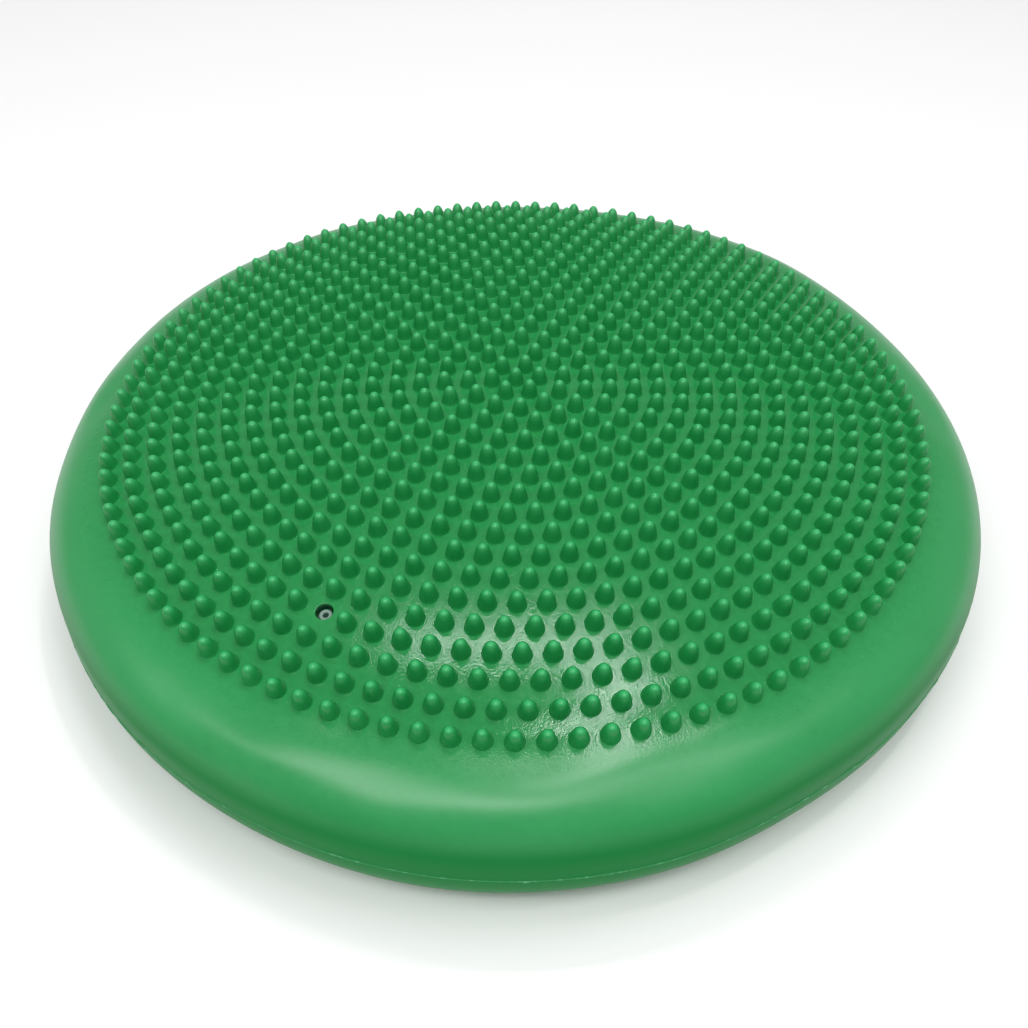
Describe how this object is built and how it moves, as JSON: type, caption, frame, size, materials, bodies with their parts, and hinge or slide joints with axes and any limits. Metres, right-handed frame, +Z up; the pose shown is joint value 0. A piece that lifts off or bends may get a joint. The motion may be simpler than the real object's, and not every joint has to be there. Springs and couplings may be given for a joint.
{
  "type": "balance pad",
  "caption": "Round inflatable balance disc with a domed top covered in concentric rings of soft nubs, a rounded side wall and a recessed needle valve.",
  "frame": {"origin": "centre of the flat underside, on the floor", "axes": "+Z up along the pad's axis, -Y towards the side that has the valve near it, +X to the right seen from there"},
  "size_m": [0.3349, 0.335, 0.0719],
  "materials": {
    "green_pvc": "satin",
    "nub_pvc": "satin",
    "valve_rubber": "satin"
  },
  "bodies": {
    "base": {"base_skin": "green_pvc"},
    "waist": {"lower_sidewall": "green_pvc", "parting_seam": "green_pvc"},
    "rim": {"upper_sidewall": "green_pvc"},
    "top": {"top_skin": "green_pvc", "massage_nubs": "nub_pvc", "valve_seat": "green_pvc", "valve_plug": "valve_rubber"}
  },
  "joints": [
    {"name": "press", "type": "slide", "parent": "base", "child": "waist", "axis": [0, 0, 1], "range_m": [-0.005, 0], "stiffness_N_per_m": 30000, "deforming": ["lower_sidewall", "parting_seam"]},
    {"name": "tilt_front_back", "type": "hinge", "parent": "waist", "child": "rim", "pos_m": [0, 0, 0.029], "axis": [1, 0, 0], "range_deg": [-4, 4], "stiffness_Nm_per_rad": 250, "deforming": ["upper_sidewall"]},
    {"name": "tilt_left_right", "type": "hinge", "parent": "rim", "child": "top", "pos_m": [0, 0, 0.029], "axis": [0, 1, 0], "range_deg": [-4, 4], "stiffness_Nm_per_rad": 250}
  ]
}
